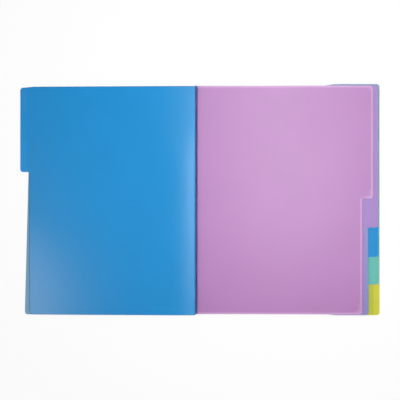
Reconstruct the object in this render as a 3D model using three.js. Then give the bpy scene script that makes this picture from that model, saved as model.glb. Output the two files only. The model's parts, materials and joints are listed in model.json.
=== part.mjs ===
// Expanding file for letter-size papers, lying open like a book on a table.
// Five pleated pockets of thin plastic sheet are stacked on the back cover: four dividers and a front panel.
// The front cover is turned over to the left, with three plain leaves bound in front of the pockets on top.
// Leaves, front panel and dividers have tabs that step down the fore-edge in eight places.
// Millimetres. X runs from the spine to the fore-edge, Y from the foot to the head, Z up from the table.
import * as THREE from "three";

// Sheets: sizes across the file
const panelHeight = 314; // head to foot of the covers, the front panel and the narrow part of a divider
const shoulderRise = 1.75; // how far a divider's wide end stands out past its narrow part, at each side
const dividerDepth = 252.5; // spine crease to the edge of a divider's tab
const frontPanelDepth = 243; // spine crease to the edge of the front panel's tab
const backCoverDepth = 244.5; // spine crease to the fore-edge of the back cover
const leafDepth = 241; // spine crease to the edge of a leaf's tab
const frontCoverDepth = 227; // spine crease to the fore-edge of the front cover, at its head
const frontCoverSkew = 7.6; // how much deeper the front cover is at its foot than at its head

// Head to foot of a divider, at its wide end
const dividerHeight = panelHeight + 2 * shoulderRise;

// Tabs: every sheet is cut back below its own tab, so that the next tab shows
const tabCount = 8; // tab places down the fore-edge
const tabWidth = 16; // how far a divider's tab stands out past its cut-back edge
const leafTabWidth = 13.5; // the same on a leaf
const tabGap = 1.4; // strip of the next tab left bare above the line between two tabs
const leafTabGap = 0.7; // the same on the leaves, measured from a leaf's own head

// Pleats: the folded sides that let a pocket open, one at the head and one at the foot
const pleatLength = 180; // spine crease to the open end of a pleat
const pleatDepth = 15; // width of half a pleat at its open end
const pleatInset = 0.6; // edge of a panel to the crease where its pleat is joined on
const shoulderClear = 2; // open end of a pleat to the start of the divider's shoulder
const shoulderLength = 9.5; // length of the slope from a divider's narrow part to its wide part
const pocketOpening = 6; // degrees that one pocket opens at the spine

// Folded strips at the spine, one in each pocket and one behind each leaf
const foldArm = 6; // length of the strip's two flat arms
const foldInset = 1.5; // head or foot of a panel to the end of its strip

// Thicknesses and clearance
const coverSheet = 0.8; // front cover, back cover and spine panel
const panelSheet = 0.5; // front panel, dividers and leaves
const pleatSheet = 0.3; // pleats and spine strips
const clearance = 0.3; // air between two sheets that lie on each other
const tableGap = 0.05; // air between the table and the fore-edge of the turned-over cover

// Corners
const cornerRadius = 4; // outer corners of the panels and covers
const tabOuterRadius = 2.5; // outer corner at the lower end of a tab
const tabInnerRadius = 2; // inner corner at the lower end of a tab
const shoulderRadius = 8; // rounding where a shoulder starts and ends
const arcSteps = 6; // straight steps in each rounded corner

// Heights of the stack, worked out from the sheets above
const pocketGap = 2 * pleatSheet + 3 * clearance;
const pocketPitch = pocketGap + panelSheet;
const tabPitch = dividerHeight / tabCount;
const pleatLevel = clearance + pleatSheet / 2;
const foldRadius = pocketGap / 2 - clearance;

// Leaves on the turned-over front cover, from the cover up
const leaves = [
  { name: "leaf_teal", colour: 0x6ebeb5, tabPlaces: 1 },
  { name: "leaf_yellow", colour: 0xc8c848, tabPlaces: 2 },
  { name: "leaf_blue", colour: 0x288ccd, tabPlaces: 3 },
];

// Panels of the pockets, from the front to the back; pocket 1 is the one behind the front panel
const panels = [
  { name: "front_panel", colour: 0xcea0d4, tabPlaces: 4 },
  { name: "divider_purple", colour: 0xb291cd, tabPlaces: 5 },
  { name: "divider_blue", colour: 0x3496d0, tabPlaces: 6 },
  { name: "divider_teal", colour: 0x6ebeb5, tabPlaces: 7 },
  { name: "divider_yellow", colour: 0xc8c848, tabPlaces: 8 },
];
const coverColour = 0x8fb6cf;
const pleatColour = 0x9aaecb;

// Room at the spine for the stack to lean back when every pocket is open
const leanBack = panels
  .slice(1)
  .reduce((sum, panel, index) => sum + pocketPitch * Math.sin(radians((index + 1) * pocketOpening)), 0);
const pivotX = coverSheet / 2 + clearance + leanBack + foldRadius;

// Height of the crease between the spine panel and the front cover
const stackTop = coverSheet + panels.length * pocketPitch;
const coverCreaseZ = stackTop + clearance + leaves.length * pocketPitch + coverSheet / 2;
const creaseGap = coverSheet / 2 + clearance;

function radians(degrees) {
  return THREE.MathUtils.degToRad(degrees);
}

// Points along the arc that rounds one corner, or the corner itself where it has no radius.
// The radius is held to what half of the shorter neighbouring side leaves room for.
function cornerPoints(before, corner, after) {
  const here = new THREE.Vector2(corner.x, corner.y);
  if (!corner.radius) return [here];
  const back = new THREE.Vector2(before.x, before.y).sub(here);
  const onward = new THREE.Vector2(after.x, after.y).sub(here);
  const room = Math.min(back.length(), onward.length()) / 2;
  back.normalize();
  onward.normalize();
  const halfAngle = Math.acos(THREE.MathUtils.clamp(back.dot(onward), -1, 1)) / 2;
  const radius = Math.min(corner.radius, room * Math.tan(halfAngle));
  const middle = back.clone().add(onward).normalize();
  const centre = middle.multiplyScalar(radius / Math.sin(halfAngle)).add(here);
  const reach = radius / Math.tan(halfAngle);
  const start = back.clone().multiplyScalar(reach).add(here).sub(centre).angle();
  const end = onward.clone().multiplyScalar(reach).add(here).sub(centre).angle();
  const clockwise = back.cross(onward) > 0;
  return new THREE.ArcCurve(centre.x, centre.y, radius, start, end, clockwise).getPoints(arcSteps);
}

// Closed outline through the corners, given counterclockwise; a corner with a radius is rounded by an arc.
function roundedOutline(corners) {
  const count = corners.length;
  return new THREE.Shape(
    corners.flatMap((corner, index) =>
      cornerPoints(corners[(index + count - 1) % count], corner, corners[(index + 1) % count]),
    ),
  );
}

// Flat sheet of the given outline, its underside at z = 0
function sheetGeometry(outline, thickness) {
  return new THREE.ExtrudeGeometry(outline, { depth: thickness, bevelEnabled: false, curveSegments: arcSteps });
}

// Named sub-part with a material of its own
function subPart(name, geometry, colour, roughness) {
  const material = new THREE.MeshStandardMaterial({ color: colour, roughness, metalness: 0 });
  const mesh = new THREE.Mesh(geometry, material);
  mesh.name = name;
  return mesh;
}

// Corners of a fore-edge that steps back below its tab, from the foot to the head
function tabbedForeEdge(wide, tabOut, tabEndY, footY, headY) {
  const narrow = wide - tabOut;
  const stepped = [
    { x: narrow, y: footY, radius: cornerRadius },
    { x: narrow, y: tabEndY, radius: tabInnerRadius },
    { x: wide, y: tabEndY, radius: tabOuterRadius },
  ];
  const plain = [{ x: wide, y: footY, radius: cornerRadius }];
  const foot = tabEndY > footY ? stepped : plain;
  return [...foot, { x: wide, y: headY, radius: cornerRadius }];
}

// Lower end of the tab of a leaf that fills so many tab places from the head
function tabEnd(places) {
  if (places === tabCount) return -dividerHeight / 2;
  return dividerHeight / 2 - places * tabPitch + tabGap;
}

// Front panel: plain at the head and the foot
function frontPanelOutline(places) {
  const half = panelHeight / 2;
  const spineX = pivotX + clearance;
  return roundedOutline([
    { x: spineX, y: -half },
    ...tabbedForeEdge(frontPanelDepth, tabWidth, tabEnd(places), -half, half),
    { x: spineX, y: half },
  ]);
}

// Divider: narrow between the pleats, with a shoulder past their open ends
function dividerOutline(places) {
  const narrowHalf = panelHeight / 2;
  const wideHalf = dividerHeight / 2;
  const spineX = pivotX + clearance;
  const shoulderStart = pleatLength + shoulderClear;
  const shoulderEnd = shoulderStart + shoulderLength;
  return roundedOutline([
    { x: spineX, y: -narrowHalf },
    { x: shoulderStart, y: -narrowHalf, radius: shoulderRadius },
    { x: shoulderEnd, y: -wideHalf, radius: shoulderRadius },
    ...tabbedForeEdge(dividerDepth, tabWidth, tabEnd(places), -wideHalf, wideHalf),
    { x: shoulderEnd, y: wideHalf, radius: shoulderRadius },
    { x: shoulderStart, y: narrowHalf, radius: shoulderRadius },
    { x: spineX, y: narrowHalf },
  ]);
}

// Back cover: a plain rectangle with rounded corners at the fore-edge
function backCoverOutline() {
  const half = panelHeight / 2;
  return roundedOutline([
    { x: creaseGap, y: -half },
    { x: backCoverDepth, y: -half, radius: cornerRadius },
    { x: backCoverDepth, y: half, radius: cornerRadius },
    { x: creaseGap, y: half },
  ]);
}

// Front cover, turned over to the left: its fore-edge runs a little out of square
function frontCoverOutline() {
  const half = panelHeight / 2;
  return roundedOutline([
    { x: -creaseGap, y: half },
    { x: -frontCoverDepth, y: half, radius: cornerRadius },
    { x: -frontCoverDepth - frontCoverSkew, y: -half, radius: cornerRadius },
    { x: -creaseGap, y: -half },
  ]);
}

// Leaf: drawn as if it lay to the right, then turned over to the left, the head staying at the head
function leafOutline(places) {
  const half = panelHeight / 2;
  const tabEndY = half - places * tabPitch + leafTabGap;
  const toTheRight = [
    { x: creaseGap, y: -half },
    ...tabbedForeEdge(leafDepth, leafTabWidth, tabEndY, -half, half),
    { x: creaseGap, y: half },
  ];
  return roundedOutline(toTheRight.map((corner) => ({ ...corner, x: -corner.x })).reverse());
}

// Half a pleat: its straight crease on the X axis, the rest reaching to the given side (1 or -1 in Y).
// It widens in step with the distance from the pocket's pivot, so that it folds flat at every depth.
function pleatHalfGeometry(side) {
  const start = foldArm + clearance;
  const end = pleatLength - pivotX;
  const slope = pleatDepth / end;
  const inwards = [
    { x: start, y: 0 },
    { x: end, y: 0 },
    { x: end, y: side * slope * end },
    { x: start, y: side * slope * start },
  ];
  const outline = roundedOutline(side > 0 ? inwards : inwards.reverse());
  return sheetGeometry(outline, pleatSheet).translate(0, 0, -pleatSheet / 2);
}

// Spine strip: two flat arms and a half-round bend, its axis on the Y axis and its arms towards +X
function spineFoldGeometry() {
  const inner = foldRadius - pleatSheet;
  const quarter = Math.PI / 2;
  const length = panelHeight - 2 * foldInset;
  const section = new THREE.Shape();
  section.moveTo(foldArm, -foldRadius);
  section.lineTo(0, -foldRadius);
  section.absarc(0, 0, foldRadius, -quarter, quarter, true);
  section.lineTo(foldArm, foldRadius);
  section.lineTo(foldArm, inner);
  section.lineTo(0, inner);
  section.absarc(0, 0, inner, quarter, -quarter, false);
  section.lineTo(foldArm, -inner);
  const geometry = sheetGeometry(section, length);
  geometry.rotateX(quarter);
  return geometry.translate(0, length / 2, 0);
}

// The two halves of one pleat, one carried by the panel behind the pocket and one by the panel before it
function addPleat(pocket, end, side, behind, before) {
  const creaseY = -side * (panelHeight / 2 - pleatInset);
  const halves = [
    { name: "back", carrier: behind, level: pleatLevel },
    { name: "front", carrier: before, level: pocketGap - pleatLevel },
  ];
  halves.forEach((half) => {
    const name = `pleat_${pocket}_${end}_${half.name}`;
    const mesh = subPart(name, pleatHalfGeometry(side), pleatColour, 0.45);
    const floor = half.carrier.userData.pocketFloorZ(pocket);
    mesh.position.set(pivotX, creaseY, floor + half.level);
    half.carrier.add(mesh);
  });
}

// Group of one panel: z = 0 in it is the underside of the panel's sheet
function panelGroup(sheet, pocketBehind) {
  const group = new THREE.Group();
  group.userData.pocketFloorZ = (pocket) => (pocket === pocketBehind ? -pocketGap : sheet);
  return group;
}

// Front cover about its crease at the spine, with the leaves nested one on the other
function frontCoverGroup() {
  const group = new THREE.Group();
  const cover = subPart("front_cover", sheetGeometry(frontCoverOutline(), coverSheet), coverColour, 0.5);
  cover.position.z = -coverSheet / 2;
  group.add(cover);
  let carrier = group;
  let carrierTop = coverSheet / 2;
  leaves.forEach((leaf) => {
    const strip = subPart(leaf.name.replace("leaf", "strip"), spineFoldGeometry(), pleatColour, 0.45);
    strip.rotation.z = Math.PI;
    strip.position.set(-creaseGap - foldRadius, 0, carrierTop + pocketGap / 2);
    carrier.add(strip);
    const leafGroup = new THREE.Group();
    leafGroup.position.z = carrierTop + pocketGap;
    leafGroup.add(subPart(leaf.name, sheetGeometry(leafOutline(leaf.tabPlaces), panelSheet), leaf.colour, 0.4));
    carrier.add(leafGroup);
    carrier = leafGroup;
    carrierTop = panelSheet;
  });
  return group;
}

// Angle by which the turned-over cover leans down until the foot corner of its fore-edge is on the table
const coverReach = Math.hypot(frontCoverDepth + frontCoverSkew, coverSheet / 2);
const coverCornerAngle = Math.atan2(coverSheet / 2, frontCoverDepth + frontCoverSkew);
const coverLean = Math.asin((coverCreaseZ - tableGap) / coverReach) - coverCornerAngle;

// Whole file, first with the spine crease at x = 0
const spineFrame = new THREE.Group();

const backCover = subPart("back_cover", sheetGeometry(backCoverOutline(), coverSheet), coverColour, 0.5);
const spineTop = coverCreaseZ - creaseGap;
const spineShape = new THREE.BoxGeometry(coverSheet, panelHeight, spineTop);
const spinePanel = subPart("spine_panel", spineShape, coverColour, 0.5);
spinePanel.position.z = spineTop / 2;
const backGroup = panelGroup(coverSheet, 0);
backGroup.add(backCover, spinePanel);
spineFrame.add(backGroup);

// Panels from the back cover up to the front panel, each group nested in the one behind it
let behind = backGroup;
let riseFromBehind = coverSheet + pocketGap;
for (let pocket = panels.length; pocket >= 1; pocket -= 1) {
  const panel = panels[pocket - 1];
  const group = panelGroup(panelSheet, pocket);
  group.position.z = riseFromBehind;
  const outline = pocket === 1 ? frontPanelOutline(panel.tabPlaces) : dividerOutline(panel.tabPlaces);
  group.add(subPart(panel.name, sheetGeometry(outline, panelSheet), panel.colour, 0.4));
  behind.add(group);
  const fold = subPart(`spine_fold_${pocket}`, spineFoldGeometry(), pleatColour, 0.45);
  fold.position.set(pivotX, 0, behind.userData.pocketFloorZ(pocket) + pocketGap / 2);
  behind.add(fold);
  addPleat(pocket, "head", -1, behind, group);
  addPleat(pocket, "foot", 1, behind, group);
  behind = group;
  riseFromBehind = pocketPitch;
}

const coverGroup = frontCoverGroup();
coverGroup.position.z = coverCreaseZ;
coverGroup.rotation.y = -coverLean;
spineFrame.add(coverGroup);

// The origin is on the table, under the middle of the open file
const leavesTop = coverSheet / 2 + leaves.length * pocketPitch;
const leftReach = leafDepth * Math.cos(coverLean) + leavesTop * Math.sin(coverLean);
spineFrame.position.x = (leftReach - dividerDepth) / 2;

const expandingFile = new THREE.Group();
expandingFile.add(spineFrame);

export default expandingFile;
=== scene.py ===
# %% [markdown]
# # An expanding file of polypropylene sheet, open on a table
# The file is a stack of thin plastic sheets: two covers, three leaves on the left, and on the right
# five pockets between a front panel and four dividers. Polypropylene sheet is cut flat and creased, and
# it never lies quite flat again. Boxes with a bevel would look like board, so every large sheet is a
# curved surface with a small thickness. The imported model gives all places; this script adds the bend,
# the finish and the light.

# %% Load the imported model
import json
import math

import bpy
import numpy as np
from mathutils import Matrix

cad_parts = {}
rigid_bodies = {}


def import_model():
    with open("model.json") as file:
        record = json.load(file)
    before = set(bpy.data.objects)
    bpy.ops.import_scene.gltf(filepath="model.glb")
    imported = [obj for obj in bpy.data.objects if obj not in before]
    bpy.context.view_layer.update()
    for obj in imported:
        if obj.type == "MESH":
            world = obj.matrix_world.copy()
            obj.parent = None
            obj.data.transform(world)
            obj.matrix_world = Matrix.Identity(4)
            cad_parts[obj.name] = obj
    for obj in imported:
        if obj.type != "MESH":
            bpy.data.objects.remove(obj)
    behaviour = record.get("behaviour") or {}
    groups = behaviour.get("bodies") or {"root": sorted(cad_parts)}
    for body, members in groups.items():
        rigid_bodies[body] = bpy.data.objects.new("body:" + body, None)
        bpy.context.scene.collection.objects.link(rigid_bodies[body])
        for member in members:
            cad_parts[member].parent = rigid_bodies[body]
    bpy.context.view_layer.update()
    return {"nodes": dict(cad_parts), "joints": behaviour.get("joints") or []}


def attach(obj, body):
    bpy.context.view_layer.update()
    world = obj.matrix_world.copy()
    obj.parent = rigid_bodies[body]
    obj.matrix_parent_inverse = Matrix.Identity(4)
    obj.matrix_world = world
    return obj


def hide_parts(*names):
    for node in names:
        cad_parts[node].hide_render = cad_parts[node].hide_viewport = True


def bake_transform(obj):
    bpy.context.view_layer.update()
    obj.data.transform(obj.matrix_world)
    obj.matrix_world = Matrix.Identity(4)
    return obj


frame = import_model()
nodes = frame["nodes"]
joint_at = {joint["name"]: np.array(joint["pos_m"]) * 1000 for joint in frame["joints"]}
joint_range = {joint["name"]: joint["range_deg"] for joint in frame["joints"]}
print("nodes:", len(nodes), "joints:", len(joint_at))

# %% [markdown]
# ## Where the sheets are
# All lengths here are millimetres, as in the drawing of the file; the last step to metres is made when
# a mesh is built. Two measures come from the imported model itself: the crease on which the front cover
# turns, and how far the open cover leans down to the table.

# %% Sizes shared by the sheets, in millimetres
MM = 0.001
crease_x, _, crease_z = joint_at["cover_turn"]
lean = math.radians(-joint_range["cover_turn"][0] - 180)
cover_sheet = 0.8
panel_sheet = 0.5
pocket_gap = 1.5
pocket_pitch = pocket_gap + panel_sheet
crease_gap = 0.7

panel_half = 156.3
divider_half = 158.75
divider_depth = 252.5
front_panel_depth = 242.8
leaf_depth = 241.0
full_tab_width = 16.0
tab_widths = {"front_panel": 15.0, "divider_purple": 14.1, "divider_blue": 14.2, "divider_teal": 14.7}
leaf_tab_width = 12.4
tab_count = 8
tab_pitch = 2 * divider_half / tab_count
tab_gap = 1.4
leaf_tab_gap = 2.0
cover_depth_head = 227.3
cover_depth_foot = 235.7
corner_radius = 4.0
tab_outer_radius = 3.6
tab_inner_radius = 2.0
print(f"crease at x {crease_x:.2f} z {crease_z:.2f} mm, the cover leans {math.degrees(lean):.2f} degrees")

# %% [markdown]
# ## A sheet with a tab, as a grid
# A die cuts each sheet with a step in its fore-edge, so that the next sheet's tab shows. A flat face
# with that outline could be extruded, but it would not bend. Here the outline is the end of a ruled
# grid: every row is a straight line from the spine to a point of the fore-edge, and columns cross it
# where the sheet has to bend.

# %% Fore-edge with rounded corners
corner_points = 7


def rounded(corners):
    """Line through the corners (x, y, radius). At each one the line follows the circle that touches
    both sides: centre = corner + (unit back + unit onward), scaled to radius / sin(half angle)."""
    line = []
    for before, corner, after in zip(corners, corners[1:], corners[2:]):
        here = np.array(corner[:2])
        back = np.array(before[:2]) - here
        onward = np.array(after[:2]) - here
        back, onward = back / np.linalg.norm(back), onward / np.linalg.norm(onward)
        half = math.acos(np.clip(back @ onward, -1, 1)) / 2
        middle = (back + onward) / np.linalg.norm(back + onward)
        centre = here + middle * corner[2] / math.sin(half)
        reach = corner[2] / math.tan(half)
        first, last = here + back * reach - centre, here + onward * reach - centre
        turn = math.pi - 2 * half
        share = np.linspace(0, 1, corner_points)[:, None]
        arc = np.sin((1 - share) * turn) * first + np.sin(share * turn) * last
        line.append(centre + arc / math.sin(turn))
    return np.concatenate(line)


def length_along(line):
    """Distance of each point from the first: the running sum of the segments' lengths."""
    return np.r_[0, np.cumsum(np.linalg.norm(np.diff(line, axis=0), axis=1))]


def refined(line, spacing):
    """The same line with points added, so that none are further apart than spacing along it."""
    along = length_along(line)
    added = np.linspace(0, along[-1], int(along[-1] / spacing) + 2)
    places = np.unique(np.round(np.r_[along, added], 3))
    return np.c_[np.interp(places, along, line[:, 0]), np.interp(places, along, line[:, 1])]


edge_run = 30.0
edge_spacing = 9.0


def tabbed_edge(wide, step, tab_end, half):
    """Fore-edge from the foot to the head, stepped back by step below the tab's lower end."""
    foot = [(wide - step, -half, corner_radius), (wide - step, tab_end, tab_inner_radius)]
    foot.append((wide, tab_end, tab_outer_radius))
    if tab_end <= -half:
        foot = [(wide, -half, corner_radius)]
    head = [(wide, half, corner_radius), (wide - edge_run, half, 0)]
    return refined(rounded([(foot[0][0] - edge_run, -half, 0), *foot, *head]), edge_spacing)


# %% Grid from the spine to the fore-edge
outward = 0.3
step_lift = 6.0
lift_fade = 70.0
lift_share = 0.5


def sheet_grid(edge, spine, columns):
    """Rows from (spine, q) to the edge's points p, with q = p_y + lift. The lift grows to step_lift
    along a step of the edge, where p_y stands still, and dies away over lift_fade above it, so that no
    two rows cross."""
    going = np.diff(edge[:, 0], prepend=edge[0, 0]) > outward
    going &= np.abs(edge[:, 1]) < edge[:, 1].max() - 2 * corner_radius
    lift = np.zeros(len(edge))
    if going.any():
        first, last = np.flatnonzero(going)[[0, -1]]
        along = length_along(edge)
        places = [along[first - 1], along[last], along[last] + lift_fade]
        room = edge[-1, 1] - edge[:, 1]
        lift = np.minimum(np.interp(along, places, [0, step_lift, 0]), room * lift_share)
    across = spine + (edge[:, :1] - spine) * columns
    up = (edge[:, 1] + lift)[:, None] * (1 - columns) + edge[:, 1:] * columns
    return across, up


edge_columns = np.array([2.0, 1.3, 0.6, 0.0])
first_points, bend_points, far_points = 13, 9, 15


def spread(width, first, bend):
    """Shares of the width: close together over the bend at the spine and over the last 2 mm."""
    rim = width - edge_columns
    places = np.r_[np.linspace(0, first, first_points), np.linspace(first, bend, bend_points),
                   np.linspace(bend, rim[0], far_points)]
    return np.unique(np.r_[places, rim[1:]]) / width


# %% Distance to the cut edge, kept with the mesh
def to_outline(points, outline):
    """Shortest distance of each point to the outline: the least over all its segments at once."""
    start, side = outline[:-1], np.diff(outline, axis=0)
    offset = points[:, None, :] - start[None]
    share = np.clip((offset * side).sum(2) / (side ** 2).sum(1), 0, 1)
    return np.linalg.norm(offset - share[..., None] * side, axis=2).min(1)


# %% From a grid to a sheet with a thickness
def grid_faces(rows, columns):
    """Four corners of each cell of the grid, counterclockwise."""
    index = np.arange(rows * columns).reshape(rows, columns)
    return np.stack([index[:-1, :-1], index[:-1, 1:], index[1:, 1:], index[1:, :-1]], -1).reshape(-1, 4)


def make_mesh(name, points, faces, thickness, rim=None):
    """Mesh of the points, in millimetres, with a wall of the given thickness centred on them."""
    mesh = bpy.data.meshes.new(name)
    mesh.from_pydata((points * MM).tolist(), [], faces.tolist())
    mesh.polygons.foreach_set("use_smooth", np.ones(len(faces), bool))
    if rim is not None:
        mesh.attributes.new("rim", "FLOAT", "POINT").data.foreach_set("value", rim.astype(np.float32))
    piece = bpy.data.objects.new(name, mesh)
    bpy.context.scene.collection.objects.link(piece)
    wall = piece.modifiers.new("wall", "SOLIDIFY")
    wall.thickness = thickness * MM
    wall.offset = 0
    wall.use_even_offset = True
    return piece


def make_sheet(name, edge, spine, columns, place, thickness, turned=False):
    """Sheet over the grid; place turns (across, up) into the points of the world, in millimetres."""
    across, up = sheet_grid(edge, spine, columns)
    flat = np.c_[across.ravel(), up.ravel()]
    outline = np.r_[[[spine, up[0, 0]]], edge, [[spine, up[-1, 0]]]]
    faces = grid_faces(*across.shape)
    if turned:
        faces = faces[:, ::-1]
    piece = make_mesh(name, place(flat), faces, thickness, to_outline(flat, outline))
    print(f"{name}: {len(flat)} points, {across.max() - spine:.1f} x {np.ptp(up):.1f} mm")
    return piece


# %% [markdown]
# ## Left side: the front cover and its leaves
# The cover is turned over and leans from the spine down to the table. Three leaves lie on it, held
# apart by their folded strips at the spine, so the stack swells next to the gutter and closes towards
# the lower corner of the fore-edge. Their surfaces are given by the gap between two sheets: it depends
# only on the distance to the crease, and each sheet adds one more gap, so they can't cross.

# %% Shape of the left stack
def ease(value, start, end):
    """0 before start, 1 after end and the cubic 3 t^2 - 2 t^3 between them."""
    share = np.clip((value - start) / (end - start), 0, 1)
    return share * share * (3 - 2 * share)


strip_gap = 0.7
fore_gap = 0.15
swelling_low, swelling_more = 46.0, 50.0
swelling_rise = (50, 115)
closing_start = 85.0
closing_least = 0.1
closing_rise = (25, 140)


def leaf_gap(depth, up):
    """Gap under a leaf: the folded strip's at the spine, growing as 1 - (1 - t)^3 to the pocket gap,
    over a wider part at the head than lower down. Past closing_start it shrinks with t^2, most of all
    at the foot."""
    swelling = swelling_low + swelling_more * ease(up, *swelling_rise)
    left = 1 - np.clip((depth - crease_gap) / swelling, 0, 1)
    opened = strip_gap + (pocket_gap - strip_gap) * (1 - left ** 3)
    closed = np.clip((depth - closing_start) / (leaf_depth - closing_start), 0, 1) ** 2
    share = closing_least + (1 - closing_least) * ease(-up, *closing_rise)
    return opened + (fore_gap - opened) * closed * share


left_drop = 0.9


def on_cover(depth, up, height):
    """Point at this distance from the crease and this height over the cover's middle plane, in the
    world. The turned-over side lies a little lower down the table than the pockets."""
    x = crease_x - depth * math.cos(lean) - height * math.sin(lean)
    z = crease_z - depth * math.sin(lean) + height * math.cos(lean)
    return np.c_[x, up - left_drop, z]


tab_head_drop = 1.2
tab_head_from = 90
tab_head_start, tab_head_end = -3, 2
wave_height = 0.1
wave_step = 47
wave_rise = (30, 120)


def leaf_place(number):
    """Places a leaf: height = cover / 2 + number gaps + the leaves under it + half a leaf + a slow
    wave. The head of its tab is cut a little lower than the rest of its head."""
    def place(flat):
        depth, up = flat.T
        narrow = leaf_depth - leaf_tab_width
        at_tab = ease(depth, narrow + tab_head_start, narrow + tab_head_end)
        up = up - tab_head_drop * at_tab * ease(up, tab_head_from, panel_half)
        wave = wave_height * (np.sin(up / wave_step + number) - 1) * ease(depth, *wave_rise)
        gap = leaf_gap(depth, up)
        height = cover_sheet / 2 + number * gap + (number - 0.5) * panel_sheet
        return on_cover(depth, up, height + wave * (gap - fore_gap))
    return place


# %% Leaves and front cover
leaf_names = ["leaf_teal", "leaf_yellow", "leaf_blue"]
leaf_setback = 0.25
leaf_columns = (12, 48)
for number, name in enumerate(leaf_names, 1):
    tab_end = panel_half - number * tab_pitch + leaf_tab_gap
    edge = tabbed_edge(leaf_depth, leaf_tab_width, tab_end, panel_half)
    start = crease_gap + leaf_setback * (len(leaf_names) - number)
    columns = spread(leaf_depth - start, *leaf_columns)
    sheet = make_sheet(f"{name}_sheet", edge, start, columns, leaf_place(number), panel_sheet,
                       turned=True)
    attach(sheet, name)
    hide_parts(name)

slanted = [(cover_depth_foot - edge_run, -panel_half, 0), (cover_depth_foot, -panel_half, corner_radius)]
slanted += [(cover_depth_head, panel_half, corner_radius), (cover_depth_head - edge_run, panel_half, 0)]
front_cover = make_sheet(
    "front_cover_sheet", refined(rounded(slanted), edge_spacing), crease_gap,
    spread(cover_depth_foot - crease_gap, *leaf_columns),
    lambda flat: on_cover(flat[:, 0], flat[:, 1], np.zeros(len(flat))), cover_sheet, turned=True)
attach(front_cover, "front_cover")
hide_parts("front_cover")

# %% [markdown]
# ## Folded strips and the spine
# Each leaf hangs on a narrow strip that is folded back on itself. It is a profile, two arms and a half
# round, carried along the height of the file. Its lower arm is welded to the sheet below and its upper
# arm to the leaf. The spine is made the same way: one sheet that leaves the back cover, stands up beside
# the pockets and turns over into the front cover. It bends where the cover turns.

# %% Profile carried from the foot to the head
carried_spacing = 24


def carried(name, profile, half, thickness):
    """Points profile(x, z) repeated at even steps of y from -half to half."""
    steps = np.linspace(-half, half, int(2 * half / carried_spacing) + 1)
    x = np.tile(profile[:, 0], (len(steps), 1))
    z = np.tile(profile[:, 1], (len(steps), 1))
    y = np.repeat(steps[:, None], len(profile), axis=1)
    return make_mesh(name, np.c_[x.ravel(), y.ravel(), z.ravel()], grid_faces(*x.shape), thickness)


strip_arm = 6.0
strip_inset = 1.5
arm_points, turn_points, strip_rows = 8, 9, 25
bend_at = 1.2
film = 0.3
film_air = 0.05
blend_half = 0.05
strip_bodies = ["front_cover", "leaf_teal", "leaf_yellow"]


def between_arms(depth, height):
    """Two points across the strip's bend: the start on the lower arm's side, the end on the upper
    arm's. They lie on the normal of the line from the bend to the middle of the room that is left
    between the arms at their ends."""
    bend_level = height[:, [len(depth[0]) // 2]].mean()
    end_level = (height[:, 0].max() + height[:, -1].min()) / 2
    slope = np.array([strip_arm, end_level - bend_level])
    normal = np.array([-slope[1], slope[0]]) / np.linalg.norm(slope)
    ends = np.array([bend_at, bend_level]) + np.array([[-blend_half], [blend_half]]) * normal
    return on_cover(ends[:, 0], np.zeros(2), ends[:, 1]) * MM


turn = (np.linspace(-90, 90, turn_points) * math.pi / 180)[1:-1]
radius = strip_gap / 2 - film / 2 - film_air
arm = np.linspace(strip_arm + bend_at, bend_at, arm_points)
side = np.r_[-np.ones(arm_points), np.sin(turn), np.ones(arm_points)]
strip_profile = np.r_[arm, bend_at - radius * np.cos(turn), arm[::-1]]
strip_half = panel_half - strip_inset
up, depth = np.meshgrid(np.linspace(-strip_half, strip_half, strip_rows), strip_profile, indexing="ij")
gap = leaf_gap(depth, up)
strips = []
for number, (name, body) in enumerate(zip(leaf_names, strip_bodies), 1):
    middle = cover_sheet / 2 + (number - 0.5) * gap + (number - 1) * panel_sheet
    height = middle + side * (gap / 2 - film / 2 - film_air)
    world = on_cover(depth.ravel(), up.ravel(), height.ravel())
    strip = make_mesh(f"{name.replace('leaf', 'strip')}_film", world, grid_faces(*depth.shape), film)
    start, end = between_arms(depth, height)
    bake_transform(strip)
    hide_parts(name.replace("leaf", "strip"))
    strips.append(strip)

# %% Spine sheet
corner_steps, upright_points = 8, 12
spine_bulge = 1.8
bend = np.linspace(0, 90, corner_steps) * math.pi / 180
middle = cover_sheet / 2
lower = np.c_[crease_gap * (1 - np.sin(bend)), middle + crease_gap * (1 - np.cos(bend))]
upright_z = np.linspace(middle + crease_gap, crease_z - crease_gap, upright_points)
upright = np.c_[np.zeros(upright_points), upright_z]
end_x, end_z = -crease_gap * math.cos(lean), crease_z - crease_gap * math.sin(lean)
upper_z = crease_z - crease_gap + (end_z - crease_z + crease_gap) * np.sin(bend)
upper = np.c_[end_x * (1 - np.cos(bend)), upper_z]
spine_line = np.concatenate([lower, upright[1:], upper[1:]])
rise = np.clip(spine_line[:, 1] / crease_z, 0, 1)
spine_line[:, 0] += crease_x - spine_bulge * np.sin(math.pi * rise) ** 2
spine = carried("spine_sheet", spine_line, panel_half, cover_sheet)
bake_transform(spine)
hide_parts("spine_panel")

# %% [markdown]
# ## Right side: the front panel and the dividers
# These sheets are flat where the pleats between them hold them, and free past the pleats' open ends.
# The front panel's edge at the spine rolls down round its strip. All of them share one slow bow, which
# is nothing at the head and the foot, so they stay parallel. The block also gets a little taller
# towards the fore-edge, and past the pleats each divider widens by a shoulder, which guides papers into
# the pocket.

# %% Shape of the pocket block
panel_names = ["front_panel", "divider_purple", "divider_blue", "divider_teal", "divider_yellow"]
pivot_x = joint_at["pocket_1"][0] - crease_x
shoulder_start, shoulder_end = 182.0, 188.5
bow_height = 0.2
bow_rise = (10, 220)
hook_radius = 1.8
hook_drop = 0.2
hook_length = hook_radius * math.pi / 2 + hook_drop
flare = 0.003
flare_start = 40.0
divider_lift = 0.45
narrow_half = 158.2


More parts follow.
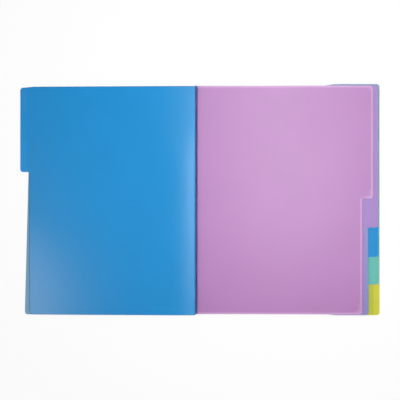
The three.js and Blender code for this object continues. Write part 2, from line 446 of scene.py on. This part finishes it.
def shoulder(across, half):
    """Half the height of a panel, as a share of its half at the spine: the block flares slowly up to
    the shoulder, and from there a divider widens to its full half."""
    slow = flare * ease(across, flare_start, shoulder_start)
    return 1 + slow + (half / panel_half - 1 - flare) * ease(across, shoulder_start, shoulder_end)


half_of = {"front_panel": panel_half * (1 + flare), "divider_purple": narrow_half,
           "divider_blue": narrow_half}


def panel_place(name, level):
    """Places a panel: z = level + a bow over the height and towards the fore-edge. The part of the
    front panel before its strip's centre follows a quarter circle round the strip's bend, (-r sin a, r
    cos a), and then hangs down."""
    half = half_of.get(name, divider_half)
    lift = 0 if name == "front_panel" else divider_lift

    def place(flat):
        across, up = flat.T
        bow = bow_height * (1 - (up / panel_half) ** 2) * ease(across, *bow_rise)
        up = up * shoulder(across, half) + lift * ease(across, shoulder_start, shoulder_end)
        before = np.clip(pivot_x - across, 0, None)
        turn = np.clip(before / hook_radius, 0, math.pi / 2)
        hanging = np.clip(before - hook_radius * math.pi / 2, 0, None)
        rolled = np.maximum(across, pivot_x) - hook_radius * np.sin(turn)
        drop = hook_radius * (1 - np.cos(turn)) + hanging
        return np.c_[crease_x + rolled, up, level + bow - drop]
    return place


# %% Panels
short_of = {"divider_purple": 2.1, "divider_blue": 1.7, "divider_teal": 0.6}
raised = {"front_panel": 0.9, "divider_blue": -0.85, "divider_teal": 1.35}
fold_air = 0.3
panel_columns = (3.6, 48)
for pocket, name in enumerate(panel_names, 1):
    level = cover_sheet + (len(panel_names) - pocket + 1) * pocket_pitch - panel_sheet / 2
    depth = front_panel_depth if pocket == 1 else divider_depth - short_of.get(name, 0)
    scale = 1 if pocket == 1 else panel_half / divider_half
    places = len(leaf_names) + pocket
    tab_end = (divider_half - places * tab_pitch + tab_gap + raised.get(name, 0)) * scale
    if places == tab_count:
        tab_end = -panel_half
    edge = tabbed_edge(depth, tab_widths.get(name, full_tab_width), tab_end, panel_half)
    start = pivot_x - hook_length if pocket == 1 else pivot_x + fold_air
    sheet = make_sheet(f"{name}_sheet", edge, start, spread(depth - start, *panel_columns),
                       panel_place(name, level), panel_sheet)
    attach(sheet, name)
    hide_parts(name)

# %% [markdown]
# ## Polypropylene sheet
# The sheets are extruded polypropylene, pressed between a polished and an embossed roller. That leaves
# a fine grain that scatters the light into a wide, soft sheen. Along the cut edges a paler colour is
# painted as a highlight, and on the blue leaf a darker one as painted shade. The real grain is too fine
# to show from this far away, so it is drawn at 1.6 mm. Thin coloured sheet lets some light through, so
# its tone changes a little where another sheet lies under it.

# %% Colours and nodes
AXES = {"x": 0, "y": 1, "z": 2}


def linear(hex_colour, alpha=1.0):
    """sRGB hex to linear light: c / 12.92 up to 0.04045, ((c + 0.055) / 1.055) ^ 2.4 above it."""
    c = np.array([int(hex_colour[i:i + 2], 16) for i in (0, 2, 4)]) / 255
    return (*np.where(c <= 0.04045, c / 12.92, ((c + 0.055) / 1.055) ** 2.4), alpha)


def add(tree, kind, settings=None, links=None):
    """Adds a node, sets its properties and sockets, and links other nodes' outputs to its inputs."""
    node = tree.nodes.new(kind)
    for key, value in (settings or {}).items():
        if isinstance(key, str) and hasattr(node, key):
            setattr(node, key, value)
        else:
            node.inputs[key].default_value = value
    for key, output in (links or {}).items():
        tree.links.new(output, node.inputs[key])
    return node


# %% Painted edge shading and tints over a sheet's colour
# Painted highlight along the cut edges, and painted shade where the edge colour is darker.
edge_shading_start, edge_shading_share = 0.2, 0.8


def with_painted_edge_shading(tree, base, colour, width):
    """The base, mixed with the edge colour, a painted highlight where it is paler and painted shade where
    it is darker, by a share that falls in a straight line from edge_shading_share at edge_shading_start
    millimetres from the cut edge to nothing at width."""
    rim = add(tree, "ShaderNodeAttribute", {"attribute_name": "rim"})
    near = add(tree, "ShaderNodeMapRange",
               {"From Min": edge_shading_start, "From Max": width, "To Min": edge_shading_share, "To Max": 0.0},
               {"Value": rim.outputs["Fac"]})
    return add(tree, "ShaderNodeMix", {"data_type": "RGBA", 7: linear(colour)},
               {0: near.outputs["Result"], 6: base}).outputs[2]


def with_tint(tree, base, split, places, colour, share):
    """The base, mixed with the tint by share times one smooth step for each place. A place is an axis
    and the two coordinates, in millimetres, from which and to which the tint comes in."""
    factor = None
    for axis, start, end in places:
        full = share if factor is None else 1.0
        first, last = (0.0, full) if start < end else (full, 0.0)
        ramp = add(tree, "ShaderNodeMapRange",
                   {"interpolation_type": "SMOOTHSTEP", "From Min": min(start, end) * MM,
                    "From Max": max(start, end) * MM, "To Min": first, "To Max": last},
                   {"Value": split.outputs[AXES[axis]]}).outputs["Result"]
        if factor is not None:
            ramp = add(tree, "ShaderNodeMath", {"operation": "MULTIPLY"}, {0: factor, 1: ramp}).outputs[0]
        factor = ramp
    return add(tree, "ShaderNodeMix", {"data_type": "RGBA", 7: linear(colour)},
               {0: factor, 6: base}).outputs[2]


# %% Embossed polypropylene
cloud_size = 0.055
noise_range = {"From Min": 0.3, "From Max": 0.7}
grain_change = 0.02
grain_height = 0.0001


def polypropylene(name, colour, tints=(), edge_shading_colour=None, roughness=0.25, grain_mm=1.6, mottle=0.015,
                  edge_shading_width=1.3, gloss=0.25):
    """Sheet of one colour, a little cloudy by the share mottle, with a fine embossed grain, an edge
    colour (a painted highlight along the cut edges where it is paler, painted shade where it is darker)
    and tints (places, colour, share). A gloss of 0.5 is the plain mirror share of the IOR, and the
    embossed faces are drawn with half of that or less."""
    material = bpy.data.materials.new(name)
    material.use_nodes = True
    tree = material.node_tree
    tree.nodes.clear()
    where = add(tree, "ShaderNodeTexCoord").outputs["Object"]
    split = add(tree, "ShaderNodeSeparateXYZ", links={"Vector": where})
    cloud = add(tree, "ShaderNodeTexNoise", {"Scale": 1 / cloud_size, "Detail": 2.0}, {"Vector": where})
    shade = add(tree, "ShaderNodeMapRange", {**noise_range, "To Min": 1 - mottle, "To Max": 1 + mottle},
                {"Value": cloud.outputs["Fac"]})
    base = add(tree, "ShaderNodeVectorMath", {"operation": "SCALE", 0: linear(colour)[:3]},
               {"Scale": shade.outputs["Result"]}).outputs["Vector"]
    if edge_shading_colour:
        base = with_painted_edge_shading(tree, base, edge_shading_colour, edge_shading_width)
    for places, tint_colour, share in tints:
        base = with_tint(tree, base, split, places, tint_colour, share)
    grain = add(tree, "ShaderNodeTexNoise", {"Scale": 1000 / grain_mm, "Detail": 3.0, "Roughness": 0.6},
                {"Vector": where})
    bump = add(tree, "ShaderNodeBump", {"Strength": 0.07, "Distance": grain_height},
               {"Height": grain.outputs["Fac"]})
    rough = add(tree, "ShaderNodeMapRange",
                {**noise_range, "To Min": roughness - grain_change, "To Max": roughness + grain_change},
                {"Value": grain.outputs["Fac"]})
    shader = add(tree, "ShaderNodeBsdfPrincipled", {"IOR": 1.49, "Specular IOR Level": gloss},
                 {"Base Color": base, "Roughness": rough.outputs["Result"],
                  "Normal": bump.outputs["Normal"]})
    add(tree, "ShaderNodeOutputMaterial", links={"Surface": shader.outputs["BSDF"]})
    return material


# %% Where a sheet shows what lies under it, and painted shade at the spine's top
# The yellow divider is greener over the back cover than past it, the blue leaf's tab changes with the
# tabs under it, and the purple divider is bluer over the blue one and along its head. The spine's top
# is painted dark navy as painted shade, for the dark line of shade in the gutter.
yellow_tints = [([("x", crease_x + 244.9, crease_x + 243.9)], "b9ba27", 1.0)]
spine_gutter_shade = [([("z", 13.5, 15.5)], "2f56ad", 0.9)]
left_tab = ("x", -236.9, -237.9)
blue_tints = [([left_tab, ("y", 119.4, 120.4)], "1a90d7", 1.0),
              ([left_tab, ("y", 79.0, 80.0), ("y", 120.4, 119.4)], "0091d8", 1.0),
              ([left_tab, ("y", 80.0, 79.0)], "0093de", 1.0)]
purple_tints = [([("x", crease_x + 233.0, crease_x + 233.9), ("y", -37.6, -38.6)], "6c8fc1", 0.9),
                ([("y", 156.4, 156.8)], "7c87b2", 0.9)]

# %% One material per colour of sheet
# The second colour of each sheet is painted along its cut edges: a paler one as a painted highlight, and
# the blue leaf's darker one as painted shade.
cover_material = polypropylene("cover_polypropylene", "6fa5c9", edge_shading_colour="7babca")
finishes = {
    "leaf_blue_sheet": polypropylene("blue_leaf_polypropylene", "088cd0", blue_tints,
                                     edge_shading_colour="1778b5"),
    "leaf_teal_sheet": polypropylene("teal_leaf_polypropylene", "6cbbb2", edge_shading_colour="8cccc5"),
    "leaf_yellow_sheet": polypropylene("yellow_leaf_polypropylene", "c1c144", edge_shading_colour="d0d068"),
    "front_cover_sheet": cover_material,
    "spine_sheet": polypropylene("spine_polypropylene", "6fa5c9", spine_gutter_shade),
    "front_panel_sheet": polypropylene("pink_polypropylene", "ad77b3", edge_shading_colour="d3aad5",
                                       edge_shading_width=3.4),
    "divider_purple_sheet": polypropylene("purple_polypropylene", "9877ba", purple_tints,
                                          edge_shading_colour="b299d0"),
    "divider_blue_sheet": polypropylene("blue_divider_polypropylene", "048acc", edge_shading_colour="4eaddc",
                                        gloss=0.12),
    "divider_teal_sheet": polypropylene("teal_divider_polypropylene", "57b3a7", edge_shading_colour="74becc"),
    "divider_yellow_sheet": polypropylene("yellow_divider_polypropylene", "ccc821", yellow_tints,
                                          edge_shading_colour="cdcd52"),
}
for name, material in finishes.items():
    bpy.data.objects[name].data.materials.append(material)

cover_plain = polypropylene("back_cover_polypropylene", "6fa5c9")
pleat_film = polypropylene("pleat_film_polypropylene", "97abc8", roughness=0.35, grain_mm=1.2)
# The folded strips are a dark navy: painted shade, for the dark line of shade in the gutter where they
# lie.
gutter_shade_film = polypropylene("strip_film_polypropylene", "3968b1", roughness=0.35, grain_mm=1.2)
for strip in strips:
    strip.data.materials.append(gutter_shade_film)
for name, node in nodes.items():
    if not node.hide_render:
        node.data.materials.clear()
        node.data.materials.append(cover_plain if name == "back_cover" else pleat_film)
print("materials:", len(bpy.data.materials))

# %% [markdown]
# ## Floor, light and camera
# The file lies on a white table in even light. The table and the surroundings are white to the camera
# and to rays that are mirrored or pass through, but they light the sheets only weakly. Most of the
# light comes from four large soft boxes round the file. None of them stands above it, because a flat
# sheet would mirror it towards the camera. Two small boxes do stand there: one gives the sheen in the
# lower corner of the blue leaf, and one the pale veil over the pink panel. Each is a pair of lamps, one
# that only lights and one that only mirrors. A soft spot from above lifts the middle of the right side.

# %% Floor and world
def shown_white(tree, shader, share):
    """Mixes white light of strength 1 into the shader for camera, glossy and transmission rays only."""
    path = add(tree, "ShaderNodeLightPath")
    seen = path.outputs["Is Camera Ray"]
    for ray in ("Is Glossy Ray", "Is Transmission Ray"):
        seen = add(tree, "ShaderNodeMath", {"operation": "MAXIMUM"},
                   {0: seen, 1: path.outputs[ray]}).outputs[0]
    factor = add(tree, "ShaderNodeMath", {"operation": "MULTIPLY", 1: share}, {0: seen})
    white = add(tree, "ShaderNodeEmission", {"Strength": 1.0})
    mixed = add(tree, "ShaderNodeMixShader", links={0: factor.outputs[0], 1: shader, 2: white.outputs[0]})
    return mixed.outputs[0]


floor_mesh = bpy.data.meshes.new("floor")
floor_reach = 6.0
floor_z = -0.0002
floor_corners = [(-floor_reach, -floor_reach, floor_z), (floor_reach, -floor_reach, floor_z),
                 (floor_reach, floor_reach, floor_z), (-floor_reach, floor_reach, floor_z)]
floor_mesh.from_pydata(floor_corners, [], [(0, 1, 2, 3)])
floor_object = bpy.data.objects.new("floor", floor_mesh)
bpy.context.scene.collection.objects.link(floor_object)
floor_material = bpy.data.materials.new("white_table")
floor_material.use_nodes = True
floor_tree = floor_material.node_tree
floor_tree.nodes.clear()
matt = add(floor_tree, "ShaderNodeBsdfDiffuse", {"Color": linear("ffffff")})
floor_surface = shown_white(floor_tree, matt.outputs[0], 0.9)
add(floor_tree, "ShaderNodeOutputMaterial", links={"Surface": floor_surface})
floor_mesh.materials.append(floor_material)

world = bpy.data.worlds.new("studio")
bpy.context.scene.world = world
world.use_nodes = True
world_tree = world.node_tree
world_tree.nodes.clear()
ambient = add(world_tree, "ShaderNodeBackground", {"Color": linear("ffffff"), "Strength": 0.2})
world_surface = shown_white(world_tree, ambient.outputs[0], 1.0)
add(world_tree, "ShaderNodeOutputWorld", links={"Surface": world_surface})

# %% Soft boxes
def aimed(name, lamp, place, aim=(0, 0, 0)):
    """Light object at place, turned so that its beam goes to the aim."""
    holder = bpy.data.objects.new(name, lamp)
    bpy.context.scene.collection.objects.link(holder)
    holder.location = place
    away = holder.location - type(holder.location)(aim)
    holder.rotation_mode = "QUATERNION"
    holder.rotation_quaternion = away.to_track_quat("Z", "Y")
    return holder


def soft_box(name, place, size, watts, aim=(0, 0, 0)):
    """Area light of size (width, height) in metres."""
    lamp = bpy.data.lights.new(name, "AREA")
    lamp.shape = "RECTANGLE"
    lamp.size, lamp.size_y = size
    lamp.energy = watts
    return aimed(name, lamp, place, aim)


box_distance, box_height = 2.0, 1.9
box_size = (1.6, 1.6)
box_watts = 6.7
for name, angle in [("box_right", 0), ("box_head", 90), ("box_left", 180), ("box_foot", 270)]:
    around = math.radians(angle)
    place = (box_distance * math.cos(around), box_distance * math.sin(around), box_height)
    soft_box(name, place, box_size, box_watts)

fill_lift = 0.05
sheen_gain = 2
small_boxes = [("corner", (-0.84, -0.23, 1.6), (0.34, 0.3), 2.6, (0, 0, 0)),
               ("panel", (0.2275, 0.2, 2.2), (0.345, 0.8), 6.1, (0.2275, 0.2, 0))]
for name, place, size, watts, aim in small_boxes:
    behind = (*place[:2], place[2] + fill_lift)
    soft_box(f"{name}_fill", behind, size, watts, aim).visible_glossy = False
    soft_box(f"{name}_sheen", place, size, sheen_gain * watts, aim).visible_diffuse = False

key_x, key_y, key_height = 0.14, 0.12, 2.2
key_lamp = bpy.data.lights.new("key", "SPOT")
key_lamp.spot_size = math.radians(27)
key_lamp.spot_blend = 1.0
key_lamp.shadow_soft_size = 0.02
key_lamp.energy = 87
key = aimed("key", key_lamp, (key_x, key_y, key_height), (key_x, key_y, 0))
key.visible_glossy = False

# %% Camera straight above the middle of the file
camera_height = 2.5
mm_per_pixel = 1.3725
level_of_scale = 5.5
picture_pixels = 400
sensor_width = 36
camera_data = bpy.data.cameras.new("camera")
camera_data.sensor_width = sensor_width
to_sheets = camera_height * 1000 - level_of_scale
camera_data.lens = sensor_width * to_sheets / (picture_pixels * mm_per_pixel)
camera_data.clip_end = 50
camera = bpy.data.objects.new("camera", camera_data)
bpy.context.scene.collection.objects.link(camera)
camera.location = (0, 0, camera_height)
bpy.context.scene.camera = camera
bpy.context.scene.view_settings.view_transform = "Standard"
print("lens %.1f mm" % camera_data.lens)
